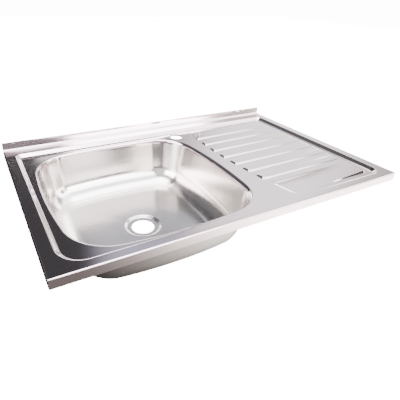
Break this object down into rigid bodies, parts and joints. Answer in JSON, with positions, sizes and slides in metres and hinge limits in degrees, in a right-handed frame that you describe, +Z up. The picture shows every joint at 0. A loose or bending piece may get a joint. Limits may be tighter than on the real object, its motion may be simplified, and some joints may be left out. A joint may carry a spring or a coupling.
{
  "type": "kitchen sink with drainboard",
  "caption": "Sit-on stainless kitchen sink: folded deck with a rear upstand, a drawn bowl on the left with a drain seat, a tap hole, a fluted drainer on the right and sliding cabinet clips.",
  "frame": {"origin": "under the middle of the deck's footprint, level with the underside of the drain seat, the lowest point of the sink", "axes": "+X from the bowl towards the drainer, +Y from the front edge towards the wall, +Z up"},
  "size_m": [0.8, 0.5, 0.1488],
  "materials": {
    "deck_steel": "satin stainless steel, brushed along the deck",
    "bowl_steel": "satin stainless steel, brushed round the walls",
    "zinc_plate": "bright zinc-plated steel",
    "damping_pad": "matt black damping sheet"
  },
  "bodies": {
    "sink": {"deck": "deck_steel", "bowl": "bowl_steel", "cross_member_centre": "deck_steel", "cross_member_right": "deck_steel", "bowl_pad_left": "damping_pad", "bowl_pad_right": "damping_pad", "drainer_pad": "damping_pad", "earth_tab": "deck_steel", "earth_screw": "zinc_plate", "earth_nut": "zinc_plate"},
    "left_front_clip": {"clip_left_front": "zinc_plate"},
    "left_back_clip": {"clip_left_back": "zinc_plate"},
    "right_front_clip": {"clip_right_front": "zinc_plate"},
    "right_back_clip": {"clip_right_back": "zinc_plate"}
  },
  "joints": [
    {"name": "left_front_clip_slide", "type": "slide", "parent": "sink", "child": "left_front_clip", "axis": [0, 1, 0], "range_m": [-0.075, 0.1]},
    {"name": "left_back_clip_slide", "type": "slide", "parent": "sink", "child": "left_back_clip", "axis": [0, 1, 0], "range_m": [-0.1, 0.075]},
    {"name": "right_front_clip_slide", "type": "slide", "parent": "sink", "child": "right_front_clip", "axis": [0, 1, 0], "range_m": [-0.075, 0.1]},
    {"name": "right_back_clip_slide", "type": "slide", "parent": "sink", "child": "right_back_clip", "axis": [0, 1, 0], "range_m": [-0.1, 0.075]}
  ]
}
